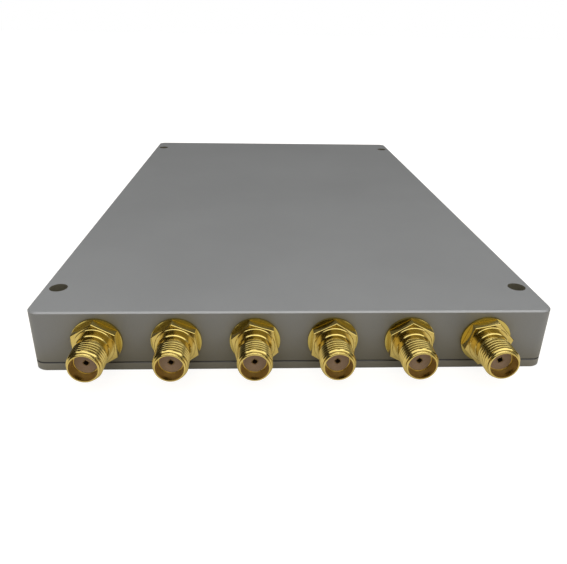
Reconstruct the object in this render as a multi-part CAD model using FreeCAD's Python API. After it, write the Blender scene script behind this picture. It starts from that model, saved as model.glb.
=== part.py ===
import FreeCAD, Part

import math
import os

# RF power splitter: a flat milled box with one input port and a row of output ports.
# Sizes are in millimetres. The origin is the middle of the underside and +Z is up.
# The output ports face -Y and the input port faces +Y.

# Housing
HOUSING_WIDTH = 98.0
HOUSING_LENGTH = 158.0
HOUSING_HEIGHT = 12.4
CORNER_RADIUS = 2.4
EDGE_BREAK = 0.3
COVER_THICKNESS = 1.75
SEAM_BREAK = 0.15
SIDE_WALL = 6.0
END_WALL = 5.0
CAVITY_CORNER_RADIUS = 3.0

# Mounting holes, right through the body and the cover
MOUNTING_HOLE_RADIUS = 1.75
MOUNTING_HOLE_SIDE_INSET = 3.0
MOUNTING_HOLE_END_INSET = 10.5

# Countersunk screws that hold the cover
COVER_SCREW_RADIUS = 1.0
COVER_SCREW_LENGTH = 6.0
COVER_SCREW_HEAD_RADIUS = 1.9
COVER_SCREW_HEAD_DEPTH = 1.0
COVER_SCREW_INSET = 3.0
COVER_SCREWS_PER_SIDE = 5

# Pan head screws that hold the board
BOARD_SCREW_RADIUS = 1.0
BOARD_SCREW_GRIP = 2.5
BOARD_SCREW_HEAD_RADIUS = 1.9
BOARD_SCREW_HEAD_HEIGHT = 1.2
BOARD_SCREW_HEAD_BREAK = 0.4
BOARD_SCREW_EDGE_INSET = 3.5

# Fits shared by screws, threads and the board
SCREW_CLEARANCE = 0.05
THREAD_END_ROOM = 0.5
HEAD_SINK = 0.05
CROSS_LENGTH = 2.0
CROSS_WIDTH = 0.45
CROSS_DEPTH = 0.6

# Circuit board and its copper
BOARD_THICKNESS = 0.8
BOARD_EDGE_GAP = 0.4
TRACK_THICKNESS = 0.05
TRACK_WIDTH = 1.5
ARM_WIDTH = 0.9
TRACK_END_SETBACK = 0.3
STUB_SPACING = 2.4
STUB_LENGTH = 4.0
OUTPUT_RING_RADIUS = 6.0
OUTPUT_RING_SETBACK = 29.0
INPUT_RING_RADIUS = 9.0
INPUT_RING_SETBACK = 39.0

# Chip resistors that bridge neighbouring stubs
RESISTOR_LENGTH = 2.0
RESISTOR_WIDTH = 1.25
RESISTOR_HEIGHT = 0.5

# Port positions
OUTPUT_COUNT = 6
PORT_PITCH = 14.6
PORT_HEIGHT = 6.48

# Port shell, with distances along its axis measured outwards from the housing wall
WASHER_THICKNESS = 0.5
WASHER_RADIUS = 4.7
HEX_ACROSS_FLATS = 8.0
HEX_FRONT = 2.25
STEP_RADIUS = 3.72
STEP_THICKNESS = 0.2
STEP_CHAMFER = 0.08
COLLAR_RADIUS = 3.16
COLLAR_FRONT = 3.62
COLLAR_CHAMFER = 0.15
NECK_RADIUS = 2.68
THREAD_RADIUS = 3.16
THREAD_START = 5.2
THREAD_RUN_IN = 0.3
THREAD_END = 8.6
NOSE_RADIUS = 2.78
NOSE_BREAK = 0.06
SHELL_FRONT = 9.39
MOUTH_RADIUS = 2.3
MOUTH_CHAMFER = 0.15
MOUTH_DEPTH = 1.94
SPIGOT_RADIUS = 2.9
SPIGOT_SHORTFALL = 0.4
SPIGOT_CHAMFER = 0.3
SPIGOT_CLEARANCE = 0.05

# Port insulator and contact
INSULATOR_RADIUS = 2.05
INSULATOR_CLEARANCE = 0.02
CONTACT_RADIUS = 0.635
CONTACT_CLEARANCE = 0.02
SOCKET_RADIUS = 0.47
SOCKET_DEPTH = 3.0
SOCKET_SLOT_WIDTH = 0.15
SOCKET_SLOT_DEPTH = 2.4
TAIL_RADIUS = 0.38
TAIL_REACH = 2.0
SOLDER_GAP = 0.03

# Angle of each hexagon as its thread came to rest, clockwise seen from in front
OUTPUT_HEX_TURNS = [-1.0, -6.0, -12.0, 3.3, -2.5, 18.0]
INPUT_HEX_TURN = 8.0

# Levels inside the housing, from the port axis upwards
TRACK_UNDERSIDE = PORT_HEIGHT + TAIL_RADIUS + SOLDER_GAP
BOARD_UNDERSIDE = TRACK_UNDERSIDE + TRACK_THICKNESS
CAVITY_TOP = BOARD_UNDERSIDE + BOARD_THICKNESS

# Plan positions that follow from the sizes above
CAVITY_HALF_WIDTH = HOUSING_WIDTH / 2 - SIDE_WALL
CAVITY_HALF_LENGTH = HOUSING_LENGTH / 2 - END_WALL
BOARD_HALF_WIDTH = CAVITY_HALF_WIDTH - BOARD_EDGE_GAP
BOARD_HALF_LENGTH = CAVITY_HALF_LENGTH - BOARD_EDGE_GAP
MOUNTING_HOLE_X = HOUSING_WIDTH / 2 - MOUNTING_HOLE_SIDE_INSET
MOUNTING_HOLE_Y = HOUSING_LENGTH / 2 - MOUNTING_HOLE_END_INSET
SIDE_SCREW_PITCH = 2 * MOUNTING_HOLE_Y / (COVER_SCREWS_PER_SIDE + 1)

# How far a cutting tool runs past the face it cuts
CUT_MARGIN = 1.0

ORIGIN = FreeCAD.Vector(0, 0, 0)
UP = FreeCAD.Vector(0, 0, 1)
X_AXIS = FreeCAD.Vector(1, 0, 0)


def export(name, shape):
    """Write one named piece to its own file."""
    if not shape.isValid():
        raise ValueError("bad shape: " + name)
    shape.exportStep("parts/" + name + ".step")
    print(name, len(shape.Solids), "solid(s)", round(shape.Volume, 2), "mm3")


def rounded_slab(half_width, half_length, bottom, top, radius):
    """Rectangular slab centred on the origin, with its upright edges rounded."""
    slab = Part.makeBox(2 * half_width, 2 * half_length, top - bottom)
    slab.translate(FreeCAD.Vector(-half_width, -half_length, bottom))
    upright = [edge for edge in slab.Edges if edge.BoundBox.ZLength > (top - bottom) / 2]
    return slab.makeFillet(radius, upright)


def break_rim(slab, level, size):
    """Chamfer the outer rim of a slab at one level."""
    rim = [
        edge for edge in slab.Edges
        if abs(edge.BoundBox.ZMin - level) < 1e-6 and abs(edge.BoundBox.ZMax - level) < 1e-6
    ]
    return slab.makeChamfer(size, rim)


def upright_rod(x, y, bottom, top, radius):
    """Upright cylinder between two levels."""
    return Part.makeCylinder(radius, top - bottom, FreeCAD.Vector(x, y, bottom), UP)


def cut_all(base, tools):
    """Cut a list of tools from a base."""
    return base.cut(Part.makeCompound(tools))


def mounting_hole_positions():
    """Plan positions of the holes near the corners."""
    return [(x, y) for x in (-MOUNTING_HOLE_X, MOUNTING_HOLE_X) for y in (-MOUNTING_HOLE_Y, MOUNTING_HOLE_Y)]


def cover_screw_positions():
    """Plan positions of the cover screws, along the side walls and between the ports."""
    side_x = HOUSING_WIDTH / 2 - COVER_SCREW_INSET
    middle = (COVER_SCREWS_PER_SIDE - 1) / 2
    places = []
    for row in range(COVER_SCREWS_PER_SIDE):
        for x in (-side_x, side_x):
            places.append((x, (row - middle) * SIDE_SCREW_PITCH))
    end_y = HOUSING_LENGTH / 2 - END_WALL / 2
    for x in (-2 * PORT_PITCH, 2 * PORT_PITCH):
        places.append((x, -end_y))
        places.append((x, end_y))
    places.append((0, -end_y))
    return places


def board_screw_positions():
    """Plan positions of the board screws, clear of the copper."""
    edge_x = BOARD_HALF_WIDTH - BOARD_SCREW_EDGE_INSET
    row_y = 2 * SIDE_SCREW_PITCH
    places = [(-edge_x, 0), (edge_x, 0)]
    for x in (-edge_x, -PORT_PITCH, PORT_PITCH, edge_x):
        places.append((x, -row_y))
        places.append((x, row_y))
    return places


def port_places():
    """Name, plan place, outward direction and hexagon angle of every port."""
    places = []
    for index in range(OUTPUT_COUNT):
        x = (index - (OUTPUT_COUNT - 1) / 2) * PORT_PITCH
        turn = OUTPUT_HEX_TURNS[index % len(OUTPUT_HEX_TURNS)]
        places.append(("output", "_" + str(index + 1), x, -1, turn))
    places.append(("input", "", 0.0, 1, INPUT_HEX_TURN))
    return places


def at_port(shape, x, facing, turn):
    """Move a piece from its own axis, outwards along +Z, to a port in a wall."""
    placed = shape.copy()
    placed.rotate(ORIGIN, UP, -turn)
    placed.rotate(ORIGIN, X_AXIS, -90 * facing)
    placed.translate(FreeCAD.Vector(x, facing * HOUSING_LENGTH / 2, PORT_HEIGHT))
    return placed


def revolve(points):
    """Turn a closed outline of (radius, distance) points about the Z axis."""
    outline = [FreeCAD.Vector(radius, 0, distance) for radius, distance in points]
    face = Part.Face(Part.makePolygon(outline + outline[:1]))
    return face.revolve(ORIGIN, UP, 360)


def screw_recess(level, depth):
    """Cross-shaped driver recess, opening at a level and running up by a depth."""
    arms = []
    for length, width in ((CROSS_LENGTH, CROSS_WIDTH), (CROSS_WIDTH, CROSS_LENGTH)):
        arm = Part.makeBox(length, width, depth)
        arm.translate(FreeCAD.Vector(-length / 2, -width / 2, level))
        arms.append(arm)
    return arms[0].fuse(arms[1])


def cover_screw():
    """Countersunk screw on the Z axis, pointing up, with its head just below the cover's face."""
    shank_top = HEAD_SINK + COVER_SCREW_LENGTH
    body = revolve([
        (0, HEAD_SINK),
        (COVER_SCREW_HEAD_RADIUS, HEAD_SINK),
        (COVER_SCREW_RADIUS, HEAD_SINK + COVER_SCREW_HEAD_DEPTH),
        (COVER_SCREW_RADIUS, shank_top),
        (0, shank_top),
    ])
    return body.cut(screw_recess(HEAD_SINK, CROSS_DEPTH))


def cover_screw_seat():
    """Countersink and clearance hole that take a cover screw."""
    gap = SCREW_CLEARANCE
    return revolve([
        (0, -gap),
        (COVER_SCREW_HEAD_RADIUS + gap + HEAD_SINK + gap, -gap),
        (COVER_SCREW_RADIUS + gap, HEAD_SINK + COVER_SCREW_HEAD_DEPTH),
        (COVER_SCREW_RADIUS + gap, COVER_THICKNESS + gap),
        (0, COVER_THICKNESS + gap),
    ])


def board_screw():
    """Pan head screw on the Z axis, pointing up, with its head against the board's underside."""
    head_bottom = BOARD_UNDERSIDE - BOARD_SCREW_HEAD_HEIGHT
    body = revolve([
        (0, head_bottom),
        (BOARD_SCREW_HEAD_RADIUS - BOARD_SCREW_HEAD_BREAK, head_bottom),
        (BOARD_SCREW_HEAD_RADIUS, head_bottom + BOARD_SCREW_HEAD_BREAK),
        (BOARD_SCREW_HEAD_RADIUS, BOARD_UNDERSIDE),
        (BOARD_SCREW_RADIUS, BOARD_UNDERSIDE),
        (BOARD_SCREW_RADIUS, CAVITY_TOP + BOARD_SCREW_GRIP),
        (0, CAVITY_TOP + BOARD_SCREW_GRIP),
    ])
    return body.cut(screw_recess(head_bottom, CROSS_DEPTH))


def make_housing_body():
    """Milled body: closed top, walls all round, open towards the cover."""
    body = rounded_slab(
        HOUSING_WIDTH / 2, HOUSING_LENGTH / 2, COVER_THICKNESS, HOUSING_HEIGHT, CORNER_RADIUS)
    body = break_rim(body, HOUSING_HEIGHT, EDGE_BREAK)
    body = break_rim(body, COVER_THICKNESS, SEAM_BREAK)
    below = COVER_THICKNESS - CUT_MARGIN
    tools = [rounded_slab(CAVITY_HALF_WIDTH, CAVITY_HALF_LENGTH, below, CAVITY_TOP, CAVITY_CORNER_RADIUS)]
    for x, y in mounting_hole_positions():
        tools.append(upright_rod(x, y, below, HOUSING_HEIGHT + CUT_MARGIN, MOUNTING_HOLE_RADIUS))
    thread_top = HEAD_SINK + COVER_SCREW_LENGTH + THREAD_END_ROOM
    for x, y in cover_screw_positions():
        tools.append(upright_rod(x, y, below, thread_top, COVER_SCREW_RADIUS + SCREW_CLEARANCE))
    thread_top = CAVITY_TOP + BOARD_SCREW_GRIP + THREAD_END_ROOM
    for x, y in board_screw_positions():
        tools.append(upright_rod(x, y, below, thread_top, BOARD_SCREW_RADIUS + SCREW_CLEARANCE))
    bore_foot = FreeCAD.Vector(0, 0, -END_WALL - CUT_MARGIN)
    bore = Part.makeCylinder(SPIGOT_RADIUS + SPIGOT_CLEARANCE, END_WALL + 2 * CUT_MARGIN, bore_foot, UP)
    for _, _, x, facing, turn in port_places():
        tools.append(at_port(bore, x, facing, turn))
    return cut_all(body, tools)


def make_bottom_cover():
    """Flat cover with countersunk holes and the four mounting holes."""
    cover = rounded_slab(HOUSING_WIDTH / 2, HOUSING_LENGTH / 2, 0, COVER_THICKNESS, CORNER_RADIUS)
    cover = break_rim(cover, COVER_THICKNESS, SEAM_BREAK)
    cover = break_rim(cover, 0, SEAM_BREAK)
    tools = [
        upright_rod(x, y, -CUT_MARGIN, COVER_THICKNESS + CUT_MARGIN, MOUNTING_HOLE_RADIUS)
        for x, y in mounting_hole_positions()
    ]
    seat = cover_screw_seat()
    for x, y in cover_screw_positions():
        tools.append(seat.translated(FreeCAD.Vector(x, y, 0)))
    return cut_all(cover, tools)


def make_screws(screw, positions):
    """One group of separate screws, all alike."""
    return Part.makeCompound([screw.translated(FreeCAD.Vector(x, y, 0)) for x, y in positions])


def make_circuit_board():
    """Board against the top of the cavity, drilled for its screws."""
    board = rounded_slab(
        BOARD_HALF_WIDTH, BOARD_HALF_LENGTH, BOARD_UNDERSIDE, CAVITY_TOP, CAVITY_CORNER_RADIUS)
    bottom = BOARD_UNDERSIDE - CUT_MARGIN
    top = CAVITY_TOP + CUT_MARGIN
    return cut_all(board, [
        upright_rod(x, y, bottom, top, BOARD_SCREW_RADIUS + SCREW_CLEARANCE)
        for x, y in board_screw_positions()
    ])


def copper_disc(x, y, radius):
    """Round of copper on the board's underside."""
    return upright_rod(x, y, TRACK_UNDERSIDE, BOARD_UNDERSIDE, radius)


def track(points, width):
    """Copper strip along straight runs, with round corners and ends."""
    pieces = []
    for (x1, y1), (x2, y2) in zip(points, points[1:]):
        length = math.hypot(x2 - x1, y2 - y1)
        run = Part.makeBox(length, width, TRACK_THICKNESS, FreeCAD.Vector(0, -width / 2, 0))
        run.rotate(ORIGIN, UP, math.degrees(math.atan2(y2 - y1, x2 - x1)))
        run.translate(FreeCAD.Vector(x1, y1, TRACK_UNDERSIDE))
        pieces.append(run)
    for x, y in points:
        pieces.append(copper_disc(x, y, width / 2))
    return pieces


def split_ring(x, y, radius, opening):
    """Ring of two quarter-wave arms, open towards the outputs where the stubs leave it."""
    ring = copper_disc(x, y, radius + ARM_WIDTH / 2).cut(copper_disc(x, y, radius - ARM_WIDTH / 2))
    length = radius + ARM_WIDTH
    gap = Part.makeBox(opening, length, TRACK_THICKNESS)
    gap.translate(FreeCAD.Vector(x - opening / 2, y - length, TRACK_UNDERSIDE))
    return ring.cut(gap)


def network_levels():
    """Distances along the board at which the rings and stubs of the network lie."""
    input_ring = CAVITY_HALF_LENGTH - INPUT_RING_SETBACK
    output_ring = OUTPUT_RING_SETBACK - CAVITY_HALF_LENGTH
    input_stub = input_ring - math.sqrt(INPUT_RING_RADIUS ** 2 - STUB_SPACING ** 2)
    output_stub = output_ring - math.sqrt(OUTPUT_RING_RADIUS ** 2 - (STUB_SPACING / 2) ** 2)
    return input_ring, input_stub, output_ring, output_stub


def pair_centres():
    """Middle of each pair of neighbouring output ports."""
    pairs = OUTPUT_COUNT // 2
    return [(index - (pairs - 1) / 2) * 2 * PORT_PITCH for index in range(pairs)]


def make_splitter_traces():
    """Copper network: the input splits three ways, and each of those two ways."""
    input_ring, input_stub, output_ring, output_stub = network_levels()
    input_level = input_stub - STUB_LENGTH
    output_level = output_stub - STUB_LENGTH
    board_end = BOARD_HALF_LENGTH - TRACK_END_SETBACK - TRACK_WIDTH / 2
    pieces = track([(0, board_end), (0, input_ring + INPUT_RING_RADIUS)], TRACK_WIDTH)
    pieces.append(split_ring(0, input_ring, INPUT_RING_RADIUS, 2 * STUB_SPACING))
    pieces += track([(0, input_ring + INPUT_RING_RADIUS), (0, input_stub)], ARM_WIDTH)
    for centre in pair_centres():
        side = (centre > 0) - (centre < 0)
        stub_x = side * STUB_SPACING
        route = [(stub_x, input_stub), (stub_x, input_level)]
        if side:
            route.append((centre, input_level))
        route.append((centre, output_ring + OUTPUT_RING_RADIUS))
        pieces += track(route, TRACK_WIDTH)
        pieces.append(split_ring(centre, output_ring, OUTPUT_RING_RADIUS, STUB_SPACING))
        for half in (-1, 1):
            stub_x = centre + half * STUB_SPACING / 2
            port_x = centre + half * PORT_PITCH / 2
            pieces += track([
                (stub_x, output_stub),
                (stub_x, output_level),
                (port_x, output_level),
                (port_x, -board_end),
            ], TRACK_WIDTH)
    copper = pieces[0].multiFuse(pieces[1:])
    return copper.removeSplitter()


def make_isolation_resistors():
    """Chip resistors that bridge the stubs, one group of separate solids."""
    _, input_stub, _, output_stub = network_levels()
    places = [(-STUB_SPACING / 2, input_stub), (STUB_SPACING / 2, input_stub)]
    places += [(centre, output_stub) for centre in pair_centres()]
    chips = []
    for x, stub in places:
        chip = Part.makeBox(RESISTOR_LENGTH, RESISTOR_WIDTH, RESISTOR_HEIGHT)
        chip.translate(FreeCAD.Vector(
            x - RESISTOR_LENGTH / 2,
            stub - STUB_LENGTH / 2 - RESISTOR_WIDTH / 2,
            TRACK_UNDERSIDE - RESISTOR_HEIGHT))
        chips.append(chip)
    return Part.makeCompound(chips)


def hexagon(across_flats, bottom, top):
    """Hexagonal prism on the Z axis with a corner towards +Y."""
    corner = across_flats / math.sqrt(3)
    points = [
        FreeCAD.Vector(
            corner * math.sin(math.radians(60 * index)), corner * math.cos(math.radians(60 * index)), bottom)
        for index in range(6)
    ]
    face = Part.Face(Part.makePolygon(points + points[:1]))
    return face.extrude(FreeCAD.Vector(0, 0, top - bottom))


def make_port_shell():
    """Turned shell: spigot, hexagon, stepped collar, neck, threaded barrel and short nose."""
    spigot_back = SPIGOT_SHORTFALL - END_WALL
    step_front = HEX_FRONT + STEP_THICKNESS
    nose_back = THREAD_END + THREAD_RADIUS - NOSE_RADIUS
    insulator_face = SHELL_FRONT - MOUTH_DEPTH
    outside = revolve([
        (0, spigot_back),
        (SPIGOT_RADIUS - SPIGOT_CHAMFER, spigot_back),
        (SPIGOT_RADIUS, spigot_back + SPIGOT_CHAMFER),
        (SPIGOT_RADIUS, WASHER_THICKNESS),
        (STEP_RADIUS, WASHER_THICKNESS),
        (STEP_RADIUS, step_front - STEP_CHAMFER),
        (STEP_RADIUS - STEP_CHAMFER, step_front),
        (COLLAR_RADIUS, step_front),
        (COLLAR_RADIUS, COLLAR_FRONT - COLLAR_CHAMFER),
        (COLLAR_RADIUS - COLLAR_CHAMFER, COLLAR_FRONT),
        (NECK_RADIUS, COLLAR_FRONT),
        (NECK_RADIUS, THREAD_START - THREAD_RUN_IN),
        (THREAD_RADIUS, THREAD_START),
        (THREAD_RADIUS, THREAD_END),
        (NOSE_RADIUS, nose_back),
        (NOSE_RADIUS, SHELL_FRONT - NOSE_BREAK),
        (NOSE_RADIUS - NOSE_BREAK, SHELL_FRONT),
        (0, SHELL_FRONT),
    ])
    bore = revolve([
        (0, spigot_back - CUT_MARGIN),
        (INSULATOR_RADIUS + INSULATOR_CLEARANCE, spigot_back - CUT_MARGIN),
        (INSULATOR_RADIUS + INSULATOR_CLEARANCE, insulator_face),
        (MOUTH_RADIUS, insulator_face),
        (MOUTH_RADIUS, SHELL_FRONT - MOUTH_CHAMFER),
        (MOUTH_RADIUS + MOUTH_CHAMFER, SHELL_FRONT),
        (MOUTH_RADIUS + MOUTH_CHAMFER, SHELL_FRONT + CUT_MARGIN),
        (0, SHELL_FRONT + CUT_MARGIN),
    ])
    hex_part = hexagon(HEX_ACROSS_FLATS, WASHER_THICKNESS, HEX_FRONT)
    return outside.fuse(hex_part).removeSplitter().cut(bore)


def make_port_washer():
    """Plain washer between the hexagon and the housing wall."""
    disc = Part.makeCylinder(WASHER_RADIUS, WASHER_THICKNESS)
    return disc.cut(Part.makeCylinder(SPIGOT_RADIUS + SPIGOT_CLEARANCE, WASHER_THICKNESS))


def make_port_insulator():
    """Insulating sleeve round the contact, flush with the floor of the mouth."""
    back = SPIGOT_SHORTFALL - END_WALL
    length = SHELL_FRONT - MOUTH_DEPTH - back
    foot = FreeCAD.Vector(0, 0, back)
    sleeve = Part.makeCylinder(INSULATOR_RADIUS, length, foot)
    return sleeve.cut(Part.makeCylinder(CONTACT_RADIUS + CONTACT_CLEARANCE, length, foot))


def make_port_contact():
    """Contact with a slotted socket in front and a thin soldering tail behind."""
    front = SHELL_FRONT - MOUTH_DEPTH
    body_back = SPIGOT_SHORTFALL - END_WALL
    tail_back = -END_WALL - TAIL_REACH
    contact = revolve([
        (0, tail_back),
        (TAIL_RADIUS, tail_back),
        (TAIL_RADIUS, body_back),
        (CONTACT_RADIUS, body_back),
        (CONTACT_RADIUS, front),
        (SOCKET_RADIUS, front),
        (SOCKET_RADIUS, front - SOCKET_DEPTH),
        (0, front - SOCKET_DEPTH),
    ])
    span = 2 * (CONTACT_RADIUS + CUT_MARGIN)
    slots = []
    for length, width in ((span, SOCKET_SLOT_WIDTH), (SOCKET_SLOT_WIDTH, span)):
        corner = FreeCAD.Vector(-length / 2, -width / 2, front - SOCKET_SLOT_DEPTH)
        slots.append(Part.makeBox(length, width, SOCKET_SLOT_DEPTH + CUT_MARGIN, corner))
    return contact.cut(slots[0].fuse(slots[1]))


def main():
    os.makedirs("parts", exist_ok=True)
    export("housing_body", make_housing_body())
    export("bottom_cover", make_bottom_cover())
    export("cover_screws", make_screws(cover_screw(), cover_screw_positions()))
    export("circuit_board", make_circuit_board())
    export("splitter_traces", make_splitter_traces())
    export("isolation_resistors", make_isolation_resistors())
    export("board_screws", make_screws(board_screw(), board_screw_positions()))
    port_pieces = {
        "shell": make_port_shell(),
        "washer": make_port_washer(),
        "insulator": make_port_insulator(),
        "contact": make_port_contact(),
    }
    for side, number, x, facing, turn in port_places():
        for piece, shape in port_pieces.items():
            export(side + "_" + piece + number, at_port(shape, x, facing, turn))


main()
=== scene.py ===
import math

import bmesh
import bpy
from mathutils import Matrix, Vector


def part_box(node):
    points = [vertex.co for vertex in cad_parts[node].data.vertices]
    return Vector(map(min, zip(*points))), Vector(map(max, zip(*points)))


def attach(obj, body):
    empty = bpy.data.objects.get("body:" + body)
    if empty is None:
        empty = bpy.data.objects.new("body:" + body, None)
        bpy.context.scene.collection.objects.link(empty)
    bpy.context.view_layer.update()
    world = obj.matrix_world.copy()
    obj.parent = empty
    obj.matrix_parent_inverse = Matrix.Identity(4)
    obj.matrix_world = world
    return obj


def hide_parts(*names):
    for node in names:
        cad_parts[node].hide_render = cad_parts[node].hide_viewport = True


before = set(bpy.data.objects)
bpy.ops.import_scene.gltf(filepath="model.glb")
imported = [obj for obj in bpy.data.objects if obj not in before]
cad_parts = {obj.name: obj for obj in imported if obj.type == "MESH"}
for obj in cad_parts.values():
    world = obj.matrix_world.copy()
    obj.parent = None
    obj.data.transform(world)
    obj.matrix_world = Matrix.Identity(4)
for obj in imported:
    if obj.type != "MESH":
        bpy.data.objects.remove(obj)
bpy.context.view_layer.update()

# The object: a flat grey splitter box with a row of gold coaxial ports.
# Lengths named here in millimetres are turned into metres by MM where they are used.
MM = 0.001

# Camera, fitted to the photograph, in millimetres and degrees
CAMERA_PLACE = (-6.78, -169.84, 60.45)
CAMERA_DOWN = 24.8
CAMERA_TO_RIGHT = 2.75
CAMERA_ROLL = 1.08
CAMERA_LENS = 35.55
CAMERA_SHIFT = 0.0024

# Two soft lamps overhead, in metres and watts: one ahead of the ports, one towards the back
FRONT_LAMP_PLACE = (0.15, -0.33, 0.42)
FRONT_LAMP_AIM = (0.15, -0.33, 0.0)
FRONT_LAMP_SIZE = (1.2, 0.44)
FRONT_LAMP_POWER = 2.3
REAR_LAMP_PLACE = (-0.1, 0.3, 0.56)
REAR_LAMP_AIM = (-0.1, -0.05, 0.0)
REAR_LAMP_SIZE = (1.2, 0.4)
REAR_LAMP_POWER = 2.7

# Room: its even light, and what the object mirrors of it. Its walls are dark, apart from a lighter
# part ahead and to the right. The edges are parts of a direction of length one, along X and Y, over
# which the walls change. The stops give how much of the walls shows at each height of a direction,
# in place of the low colour.
WHITE = (1, 1, 1, 1)
ROOM_LIGHT = 0.37
ROOM_LOW = (0.6, 0.59, 0.56, 1)
ROOM_DARK = (0.03, 0.026, 0.022, 1)
ROOM_RIGHT = (0.36, 0.35, 0.32, 1)
ROOM_RIGHT_EDGE = (-0.16, -0.02)
ROOM_AHEAD_EDGE = (0.0, -0.3)
ROOM_STOPS = [(0.0, 0.3), (0.015, 1.0), (0.72, 1.0), (1.0, 0.8)]

# Floor, in metres. Its glow goes from a near level to a far one over a distance from the middle,
# and mirrored rays see a darker, warmer floor with a painted shadow where the object stands close over it.
FLOOR_HALF = 3.0
FLOOR_OPENING_ROOM = 0.00005
FLOOR_NEAR = 0.12
FLOOR_FAR = 0.3
FLOOR_SHADE = (0.33, 0.305, 0.27, 1)
FLOOR_GLOW = 0.86
FLOOR_FAR_GLOW = 1.0
FLOOR_ROUGHNESS = 0.9
FLOOR_SHADE_MIRRORED = (0.04, 0.036, 0.03, 1)
FLOOR_GLOW_MIRRORED = 0.86
FLOOR_FAR_MIRRORED = 0.1
FLOOR_CONTACT = 0.02
FLOOR_WARMTH = (1.0, 0.94, 0.83, 1)

# Housing levels and tints, for the painted highlight on the top edges, the painted shade in the seam above
# the cover and the painted shade in the hollows
HOUSING_TOP = 12.4
EDGE_REACH = 1.0
SEAM_LEVEL = 1.75
SEAM_REACH = 0.25
HOLLOW_SHADE_REACH = 8.0
EDGE_HIGHLIGHT_TINT = 1.5
SEAM_SHADE_TINT = 0.2

# Port shell, with distances outwards from the housing wall
PORT_HEIGHT = 6.48
WASHER_THICKNESS = 0.5
WASHER_EDGE = 0.14
HEX_ACROSS_FLATS = 8.0
HEX_FRONT = 2.25
HEX_EDGE = 0.07
STEP_RADIUS = 3.72
STEP_THICKNESS = 0.2
STEP_CHAMFER = 0.1
COLLAR_RADIUS = 3.16
COLLAR_FRONT = 3.62
COLLAR_CHAMFER = 0.15
NECK_RADIUS = 2.68
THREAD_RADIUS = 3.16
THREAD_ROOT = 2.77
THREAD_PITCH = 0.7056
THREAD_RUN_IN = 4.9
THREAD_START = 5.2
THREAD_END = 8.6
THREAD_FADE = 8.72
THREAD_PHASE = 0.1
NOSE_RADIUS = 2.82
NOSE_CONE = 0.22
NOSE_BACK = 8.88
RIM_ROUND = 0.22
SHELL_FRONT = 9.39
MOUTH_FRONT_RADIUS = 2.5
MOUTH_BACK_RADIUS = 2.14
MOUTH_DEPTH = 1.94
BORE_RADIUS = 2.07
SPIGOT_RADIUS = 2.9
SPIGOT_BACK = -4.6
SPIGOT_CHAMFER = 0.3
SHELL_COLUMNS = 96
SMOOTH_ANGLE = 16.5

# One pitch of the thread: share of the pitch, and share of the depth below the crest
THREAD_PROFILE = [
    (0.0, 0.0),
    (0.16, 0.0),
    (0.23, 0.125),
    (0.48, 1.0),
    (0.62, 1.0),
]

# Angle of each hexagon, clockwise seen from in front
HEX_TURNS = {
    "output_shell_1": -1.0,
    "output_shell_2": -6.0,
    "output_shell_3": -12.0,
    "output_shell_4": 3.3,
    "output_shell_5": -2.5,
    "output_shell_6": 18.0,
    "input_shell": 8.0,
}


def grey(level):
    """Linear value of a grey given on the 0 to 255 scale of a picture."""
    c = level / 255
    return c / 12.92 if c <= 0.04045 else ((c + 0.055) / 1.055) ** 2.4


def colour(red, green, blue):
    """Linear colour of a picture colour."""
    return (grey(red), grey(green), grey(blue), 1.0)


class Nodes:
    """Short ways to add nodes to a node tree."""

    def __init__(self, tree):
        self.tree = tree

    def link(self, value, socket):
        """Feed a socket from another socket, or set it to a constant."""
        if isinstance(value, bpy.types.NodeSocket):
            self.tree.links.new(value, socket)
        else:
            socket.default_value = value

    def node(self, kind, inputs=None, **settings):
        made = self.tree.nodes.new(kind)
        for key, value in settings.items():
            setattr(made, key, value)
        for key, value in (inputs or {}).items():
            self.link(value, made.inputs[key])
        return made

    def remap(self, value, low, high, out_low, out_high):
        made = self.node("ShaderNodeMapRange", {
            "Value": value, "From Min": low, "From Max": high, "To Min": out_low, "To Max": out_high})
        return made.outputs["Result"]

    def math(self, operation, first, second=0.0):
        made = self.node("ShaderNodeMath", {0: first, 1: second}, operation=operation)
        return made.outputs["Value"]

    def mix(self, factor, first, second):
        """Colour between two, by a factor."""
        made = self.node("ShaderNodeMix", data_type="RGBA")
        for socket, value in ((0, factor), (6, first), (7, second)):
            self.link(value, made.inputs[socket])
        return made.outputs[2]

    def near(self, value, middle, reach):
        """One where a value is at the middle, falling to nothing at a reach either side."""
        away = self.math("ABSOLUTE", self.math("SUBTRACT", value, middle))
        return self.remap(away, 0.4 * reach, reach, 1.0, 0.0)

    def ray_kinds(self):
        """One for mirrored rays, and one for rays that are mirrored or come from the camera."""
        path = self.node("ShaderNodeLightPath")
        mirrored = self.math("MAXIMUM", path.outputs["Is Glossy Ray"], path.outputs["Is Transmission Ray"])
        seen = self.math("MAXIMUM", mirrored, path.outputs["Is Camera Ray"])
        return mirrored, seen


class Material(Nodes):
    """A node material with one shader for the whole surface."""

    def __init__(self, name):
        self.material = bpy.data.materials.new(name)
        self.material.use_nodes = True
        super().__init__(self.material.node_tree)
        self.shader = self.tree.nodes["Principled BSDF"]
        self.output = self.tree.nodes["Material Output"]

    def set(self, **values):
        for key, value in values.items():
            self.link(value, self.shader.inputs[key.replace("_", " ")])

    def place(self):
        """Position on the piece in metres, in the object's own frame."""
        return self.node("ShaderNodeTexCoord").outputs["Object"]

    def noise(self, vector, scale, detail=3.0, roughness=0.5):
        made = self.node("ShaderNodeTexNoise", {
            "Vector": vector, "Scale": scale, "Detail": detail, "Roughness": roughness})
        return made.outputs["Fac"]

    def openness(self, reach, samples):
        """One in the open, less where other surfaces stand within a reach in metres."""
        return self.node("ShaderNodeAmbientOcclusion", {"Distance": reach}, samples=samples).outputs["AO"]

    def bump(self, height, strength, distance):
        inputs = {"Height": height, "Strength": strength, "Distance": distance}
        return self.node("ShaderNodeBump", inputs).outputs["Normal"]


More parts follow.
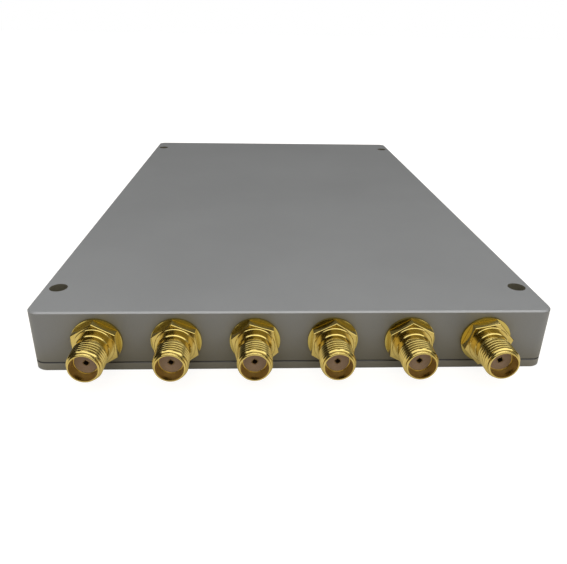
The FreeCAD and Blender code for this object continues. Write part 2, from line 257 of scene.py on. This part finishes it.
def scaled(base, factor):
    """A colour made lighter or darker by a factor."""
    return [c * factor for c in base[:3]] + [1.0]


def blasted_metal(name, base, hollow_shade_tint):
    """Grey conversion-coated aluminium, blasted, with a painted highlight on the top edges, painted shade
    in the seam, and painted shade with a warm painted reflection in hollows.
    """
    m = Material(name)
    place = m.place()
    cloud = m.noise(place, 28.0, 4.0, 0.55)
    grain = m.noise(place, 5200.0, 2.0, 0.6)
    tint = m.mix(m.remap(cloud, 0.3, 0.7, 0.0, 1.0), scaled(base, 0.95), scaled(base, 1.05))
    tint = m.mix(m.remap(grain, 0.35, 0.65, 0.0, 0.3), tint, scaled(base, 1.25))
    level = m.node("ShaderNodeSeparateXYZ", {"Vector": place}).outputs["Z"]
    facing = m.node("ShaderNodeTexCoord").outputs["Normal"]
    upward = m.node("ShaderNodeSeparateXYZ", {"Vector": facing}).outputs["Z"]
    # Painted highlight: the housing's top edges are lighter, standing in for the lamp's sheen on the edge
    # break.
    edge = m.math("MULTIPLY", m.near(upward, 0.7, 0.25), m.near(level, HOUSING_TOP * MM, EDGE_REACH * MM))
    tint = m.mix(edge, tint, scaled(base, EDGE_HIGHLIGHT_TINT))
    # Painted shade: the seam above the cover is darker, standing in for the shadow in the gap.
    seam = m.near(level, SEAM_LEVEL * MM, SEAM_REACH * MM)
    # Painted shade where other surfaces stand near, tinted warm as a painted reflection of the gold ports.
    hollow = m.remap(m.openness(HOLLOW_SHADE_REACH * MM, 8), 0.5, 0.95, 1.0, 0.0)
    tint = m.mix(hollow, tint, [c * shade for c, shade in zip(base, hollow_shade_tint)] + [1.0])
    m.set(
        Base_Color=m.mix(seam, tint, scaled(base, SEAM_SHADE_TINT)),
        Metallic=0.35,
        Roughness=m.remap(grain, 0.3, 0.7, 0.36, 0.5),
        Normal=m.bump(grain, 0.25, 0.00004),
    )
    return m.material


def gold_plate(name):
    """Gold plating over turned metal, with faint turning marks."""
    m = Material(name)
    turning = m.node("ShaderNodeAttribute", attribute_name="turning").outputs["Fac"]
    along = m.node("ShaderNodeCombineXYZ", {"X": turning}).outputs["Vector"]
    marks = m.noise(along, 14000.0, 2.0, 0.6)
    cloud = m.noise(m.place(), 900.0, 3.0, 0.5)
    m.set(
        Base_Color=m.mix(m.remap(cloud, 0.3, 0.7, 0.0, 1.0), colour(206, 184, 106), colour(218, 196, 120)),
        Metallic=1.0,
        Roughness=m.remap(marks, 0.3, 0.7, 0.12, 0.22),
        Normal=m.bump(marks, 0.12, 0.00002),
    )
    return m.material


def speckled(name, dark, light, scale, roughness, bump, metallic=0.0, spread=0.2, texture=0.5):
    """Material whose shade, gloss and surface all follow one fine noise."""
    m = Material(name)
    grain = m.noise(m.place(), scale, 3.0, texture)
    m.set(
        Base_Color=m.mix(m.remap(grain, 0.5 - spread, 0.5 + spread, 0.0, 1.0), dark, light),
        Metallic=metallic,
        Roughness=m.remap(grain, 0.3, 0.7, *roughness),
        Normal=m.bump(grain, *bump),
    )
    return m.material


def plain_gold(name, dark, light, roughness):
    """Gold flash over a part that isn't turned, between two shades."""
    return speckled(
        name, dark, light, 2500.0, (roughness - 0.05, roughness + 0.05), (0.05, 0.00002), metallic=1.0)


def dress_node(name, material, edge=0.0):
    """Give a carried-over node its material, smooth shading and, where asked, softened edges."""
    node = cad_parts[name]
    node.data.materials.clear()
    node.data.materials.append(material)
    node.data.polygons.foreach_set("use_smooth", [True] * len(node.data.polygons))
    if edge:
        bevel = node.modifiers.new("edge", "BEVEL")
        bevel.width = edge * MM
        bevel.segments = 2
        bevel.angle_limit = math.radians(35)
        bevel.harden_normals = True


class Weld:
    """Collects faces given by coordinates and joins corners that lie in the same place."""

    def __init__(self):
        self.index = {}
        self.points = []
        self.faces = []

    def corner(self, point):
        key = tuple(round(c, 5) for c in point)
        if key not in self.index:
            self.index[key] = len(self.points)
            self.points.append(point)
        return self.index[key]

    def face(self, corners):
        loop = []
        for point in corners:
            number = self.corner(point)
            if number not in loop:
                loop.append(number)
        if len(loop) > 2:
            self.faces.append(loop)


def around(radius, distance, angle):
    """Point at an angle clockwise from the top, seen from in front, as (x, distance, z)."""
    return (radius * math.sin(angle), distance, radius * math.cos(angle))


def hexagon_radius(angle, turn, inset):
    """Distance from the axis to the hexagon's side at an angle."""
    step = math.radians(60)
    local = (angle - math.radians(turn)) % step - step / 2
    return (HEX_ACROSS_FLATS / 2 - inset) / math.cos(local)


def arc_rows(radius_centre, distance_centre, size, start, end, steps):
    """Rows on an arc of the outline, as (radius, distance) pairs."""
    rows = []
    for index in range(steps + 1):
        angle = math.radians(start + (end - start) * index / steps)
        rows.append((radius_centre + size * math.cos(angle), distance_centre + size * math.sin(angle)))
    return rows


def nose_radius(distance):
    """Radius of the short cone in front of the thread, which slopes at 45 degrees."""
    return min(THREAD_RADIUS, max(NOSE_RADIUS, THREAD_RADIUS - (distance - THREAD_END)))


def thread_radius(distance, depth):
    """Radius of the threaded barrel at a distance, for a share of the thread's depth."""
    started = (distance - THREAD_RUN_IN) / (THREAD_START - THREAD_RUN_IN)
    run_in = NECK_RADIUS + (THREAD_RADIUS - NECK_RADIUS) * started
    fade = min(1.0, max(0.0, (THREAD_FADE - distance) / (THREAD_FADE - THREAD_END)))
    nose = nose_radius(distance)
    cut = nose - (nose - THREAD_ROOT) * depth * fade
    return max(NECK_RADIUS, min(run_in, cut))


def add_thread(weld, turn):
    """Helical right-hand thread between the neck and the nose cone."""
    rows_per_pitch = len(THREAD_PROFILE)
    turns = math.ceil((THREAD_FADE - THREAD_RUN_IN) / THREAD_PITCH) + 2
    columns = SHELL_COLUMNS
    rows = turns * rows_per_pitch

    def point(row, column):
        share, depth = THREAD_PROFILE[row % rows_per_pitch]
        base = THREAD_RUN_IN + THREAD_PHASE - THREAD_PITCH + THREAD_PITCH * (row // rows_per_pitch + share)
        distance = base - THREAD_PITCH * column / columns
        distance = min(THREAD_FADE, max(THREAD_RUN_IN, distance))
        radius = thread_radius(distance, depth)
        return around(radius, distance, 2 * math.pi * column / columns + math.radians(turn))

    for row in range(rows):
        for column in range(columns):
            corners = [point(row, column), point(row + 1, column)]
            if column + 1 < columns:
                corners += [point(row + 1, column + 1), point(row, column + 1)]
            elif row >= rows_per_pitch:
                corners += [point(row + 1 - rows_per_pitch, 0), point(row - rows_per_pitch, 0)]
            weld.face(corners)


def shell_outline():
    """Rows of the shell apart from the thread, as (radius or hexagon inset, distance)."""
    step_front = HEX_FRONT + STEP_THICKNESS
    behind = [
        (BORE_RADIUS, SPIGOT_BACK),
        (SPIGOT_RADIUS - SPIGOT_CHAMFER, SPIGOT_BACK),
        (SPIGOT_RADIUS, SPIGOT_BACK + SPIGOT_CHAMFER),
        (SPIGOT_RADIUS, WASHER_THICKNESS),
        ("hex", WASHER_THICKNESS, HEX_EDGE),
        ("hex", WASHER_THICKNESS + HEX_EDGE, 0.0),
        ("hex", HEX_FRONT - HEX_EDGE, 0.0),
        ("hex", HEX_FRONT, HEX_EDGE),
        (STEP_RADIUS, HEX_FRONT),
        (STEP_RADIUS, step_front - STEP_CHAMFER),
        (STEP_RADIUS - STEP_CHAMFER, step_front),
        (COLLAR_RADIUS, step_front),
        (COLLAR_RADIUS, COLLAR_FRONT - COLLAR_CHAMFER),
        (COLLAR_RADIUS - COLLAR_CHAMFER, COLLAR_FRONT),
        (NECK_RADIUS, COLLAR_FRONT),
        (NECK_RADIUS, THREAD_RUN_IN),
    ]
    ahead = [
        (nose_radius(THREAD_FADE), THREAD_FADE),
        (THREAD_RADIUS - NOSE_CONE, THREAD_END + NOSE_CONE),
        (NOSE_RADIUS, NOSE_BACK),
    ]
    ahead += arc_rows(NOSE_RADIUS - RIM_ROUND, SHELL_FRONT - RIM_ROUND, RIM_ROUND, 0, 90, 6)
    ahead += [
        (MOUTH_FRONT_RADIUS, SHELL_FRONT),
        (MOUTH_BACK_RADIUS, SHELL_FRONT - MOUTH_DEPTH),
        (BORE_RADIUS, SHELL_FRONT - MOUTH_DEPTH),
        (BORE_RADIUS, SPIGOT_BACK),
    ]
    return behind, ahead


def add_rows(weld, rows, turn):
    """Skin a list of outline rows, each a ring of points."""
    columns = SHELL_COLUMNS

    def point(row, column):
        angle = 2 * math.pi * (column % columns) / columns + math.radians(turn)
        if row[0] == "hex":
            return around(hexagon_radius(angle, turn, row[2]), row[1], angle)
        return around(row[0], row[1], angle)

    for first, second in zip(rows, rows[1:]):
        for column in range(columns):
            weld.face([
                point(first, column), point(second, column),
                point(second, column + 1), point(first, column + 1)])


def make_shell(name, material):
    """Threaded gold shell that stands for one CAD shell."""
    low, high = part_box(name)
    facing = -1 if low.y + high.y < 0 else 1
    centre_x = 0.0 if facing > 0 else (low.x + high.x) / 2
    wall = frame_wall(facing)
    turn = HEX_TURNS[name]
    weld = Weld()
    behind, ahead = shell_outline()
    add_rows(weld, behind, turn)
    add_thread(weld, turn)
    add_rows(weld, ahead, turn)
    mesh = bpy.data.meshes.new(name.replace("shell", "threaded_shell"))
    to_frame = [
        (centre_x - facing * x * MM, wall + facing * y * MM, (PORT_HEIGHT + z) * MM)
        for x, y, z in weld.points
    ]
    mesh.from_pydata(to_frame, [], weld.faces)
    turning = mesh.attributes.new("turning", "FLOAT", "POINT")
    turning.data.foreach_set("value", [(y + 0.6 * math.hypot(x, z)) * MM for x, y, z in weld.points])
    return finish_mesh(mesh, material, name)


def frame_wall(facing):
    """Distance along the box of the end wall that faces one way."""
    low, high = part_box("housing_body")
    return high.y if facing > 0 else low.y


def finish_mesh(mesh, material, *nodes):
    """Make an object of a mesh, with tidy normals, and let it stand for CAD nodes."""
    work = bmesh.new()
    work.from_mesh(mesh)
    bmesh.ops.recalc_face_normals(work, faces=work.faces)
    work.to_mesh(mesh)
    work.free()
    mesh.materials.append(material)
    mesh.shade_smooth()
    mesh.set_sharp_from_angle(angle=math.radians(SMOOTH_ANGLE))
    piece = bpy.data.objects.new(mesh.name, mesh)
    bpy.context.scene.collection.objects.link(piece)
    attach(piece, "root")
    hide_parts(*nodes)
    return piece


def make_camera():
    """Camera at the photograph's place and angle."""
    data = bpy.data.cameras.new("camera")
    data.lens = CAMERA_LENS
    data.sensor_width = 36.0
    data.shift_x = CAMERA_SHIFT
    data.clip_start = 0.005
    camera = bpy.data.objects.new("camera", data)
    bpy.context.scene.collection.objects.link(camera)
    turn = Matrix.Rotation(math.radians(-CAMERA_TO_RIGHT), 4, "Z")
    tilt = Matrix.Rotation(math.radians(90 - CAMERA_DOWN), 4, "X")
    roll = Matrix.Rotation(math.radians(CAMERA_ROLL), 4, "Z")
    place = Vector(CAMERA_PLACE) * MM
    camera.matrix_world = Matrix.Translation(place) @ turn @ tilt @ roll
    bpy.context.scene.camera = camera


def area_light(name, place, target, size, power):
    """Soft lamp at a place, aimed at a target, in metres and watts."""
    place = Vector(place)
    data = bpy.data.lights.new(name, "AREA")
    data.shape = "RECTANGLE"
    data.size, data.size_y = size
    data.energy = power
    lamp = bpy.data.objects.new(name, data)
    bpy.context.scene.collection.objects.link(lamp)
    turn = (Vector(target) - place).to_track_quat("-Z", "Y")
    lamp.matrix_world = Matrix.Translation(place) @ turn.to_matrix().to_4x4()


def make_world():
    """White to the camera, an even light on the object, and a dim room in what it mirrors."""
    world = bpy.data.worlds.new("studio")
    bpy.context.scene.world = world
    world.use_nodes = True
    n = Nodes(world.node_tree)
    direction = n.node("ShaderNodeTexCoord").outputs["Generated"]
    part = n.node("ShaderNodeSeparateXYZ", {"Vector": direction})
    right = n.remap(part.outputs["X"], *ROOM_RIGHT_EDGE, 0.0, 1.0)
    ahead = n.remap(part.outputs["Y"], *ROOM_AHEAD_EDGE, 0.0, 1.0)
    walls = n.mix(n.math("MULTIPLY", right, ahead), ROOM_DARK, ROOM_RIGHT)
    rise = n.node("ShaderNodeValToRGB", {"Fac": part.outputs["Z"]})
    stops = rise.color_ramp.elements
    stops.remove(stops[1])
    for position, level in ROOM_STOPS:
        stop = stops.new(position) if position else stops[0]
        stop.color = (level, level, level, 1)
    room = n.mix(rise.outputs["Color"], ROOM_LOW, walls)
    mirrored, seen = n.ray_kinds()
    background = world.node_tree.nodes["Background"]
    n.link(n.mix(mirrored, WHITE, room), background.inputs["Color"])
    n.link(n.remap(seen, 0.0, 1.0, ROOM_LIGHT, 1.0), background.inputs["Strength"])


def make_floor():
    """Pale one-sided floor that shows white and keeps the object's shadow, open under the box."""
    low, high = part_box("bottom_cover")
    outer = (FLOOR_HALF, FLOOR_HALF)
    inner = (high.x + FLOOR_OPENING_ROOM, high.y + FLOOR_OPENING_ROOM)
    signs = [(-1, -1), (1, -1), (1, 1), (-1, 1)]
    corners = [(x * half_x, y * half_y, 0) for half_x, half_y in (outer, inner) for x, y in signs]
    faces = [(i, (i + 1) % 4, 4 + (i + 1) % 4, 4 + i) for i in range(4)]
    mesh = bpy.data.meshes.new("floor")
    mesh.from_pydata(corners, [], faces)
    m = Material("floor")
    mirrored, seen = m.ray_kinds()
    away = m.node("ShaderNodeVectorMath", {0: m.place()}, operation="LENGTH").outputs["Value"]
    # Painted shadow in what the object mirrors: the floor's mirrored glow falls where other surfaces stand
    # close over it.
    glow_with_painted_shadow = m.math("MULTIPLY", m.openness(FLOOR_CONTACT, 4), FLOOR_GLOW_MIRRORED)
    near = m.remap(mirrored, 0.0, 1.0, FLOOR_GLOW, glow_with_painted_shadow)
    far = m.remap(mirrored, 0.0, 1.0, FLOOR_FAR_GLOW, FLOOR_FAR_MIRRORED)
    glow = m.remap(away, FLOOR_NEAR, FLOOR_FAR, near, far)
    m.set(
        Base_Color=m.mix(mirrored, FLOOR_SHADE, FLOOR_SHADE_MIRRORED),
        Emission_Color=m.mix(mirrored, WHITE, FLOOR_WARMTH),
        Emission_Strength=m.math("MULTIPLY", seen, glow),
        Roughness=FLOOR_ROUGHNESS,
    )
    underneath = m.node("ShaderNodeNewGeometry").outputs["Backfacing"]
    clear = m.node("ShaderNodeBsdfTransparent").outputs["BSDF"]
    one_sided = m.node("ShaderNodeMixShader", {0: underneath, 1: m.shader.outputs["BSDF"], 2: clear})
    m.link(one_sided.outputs["Shader"], m.output.inputs["Surface"])
    mesh.materials.append(m.material)
    floor = bpy.data.objects.new("floor", mesh)
    bpy.context.scene.collection.objects.link(floor)


def dress_object():
    """Give every node its material, and put the threaded shells in place of the plain ones."""
    # The last colour of each gives its painted shade and warm painted reflection in hollows.
    housing = blasted_metal("housing", colour(141, 142, 142), (0.8, 0.72, 0.52))
    # The cover's grey is lighter than the housing's: painted light that makes up for the shade at the foot
    # of the box.
    cover = blasted_metal("cover", colour(150, 149, 145), (0.92, 0.88, 0.76))
    gold = gold_plate("gold")
    washer_gold = plain_gold("washer_gold", colour(198, 179, 98), colour(204, 185, 104), 0.12)
    # The contact's gold is darker, browner and duller than the shell's: painted shade for the dark socket
    # hole.
    contact_gold = plain_gold("contact_gold", colour(146, 122, 92), colour(154, 130, 98), 0.5)
    track_gold = plain_gold("track_gold", colour(214, 186, 110), colour(226, 200, 126), 0.3)
    # The insulator is darker and browner than its own off-white: painted shade for the shadow inside the
    # mouth.
    insulator = speckled(
        "insulator", colour(160, 134, 114), colour(172, 146, 126), 3500.0, (0.4, 0.55), (0.1, 0.00003))
    screw_steel = speckled(
        "screw_steel", colour(176, 176, 174), colour(196, 196, 192), 4000.0, (0.25, 0.38), (0.08, 0.00002),
        metallic=1.0)
    laminate = speckled(
        "laminate", colour(86, 104, 66), colour(104, 122, 80), 1200.0, (0.45, 0.6), (0.15, 0.00003),
        spread=0.15, texture=0.6)
    chip = speckled("chip", colour(28, 28, 30), colour(44, 44, 46), 3000.0, (0.35, 0.5), (0.1, 0.00002))
    dress_node("housing_body", housing)
    dress_node("bottom_cover", cover)
    dress_node("circuit_board", laminate)
    dress_node("splitter_traces", track_gold)
    dress_node("isolation_resistors", chip)
    dress_node("cover_screws", screw_steel)
    dress_node("board_screws", screw_steel)
    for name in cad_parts:
        if "_washer" in name:
            dress_node(name, washer_gold, WASHER_EDGE)
        elif "_insulator" in name:
            dress_node(name, insulator)
        elif "_contact" in name:
            dress_node(name, contact_gold)
        elif "_shell" in name:
            make_shell(name, gold)


def main():
    scene = bpy.context.scene
    scene.view_settings.view_transform = "Standard"
    make_camera()
    make_world()
    make_floor()
    area_light("overhead", FRONT_LAMP_PLACE, FRONT_LAMP_AIM, FRONT_LAMP_SIZE, FRONT_LAMP_POWER)
    area_light("rear", REAR_LAMP_PLACE, REAR_LAMP_AIM, REAR_LAMP_SIZE, REAR_LAMP_POWER)
    dress_object()


main()
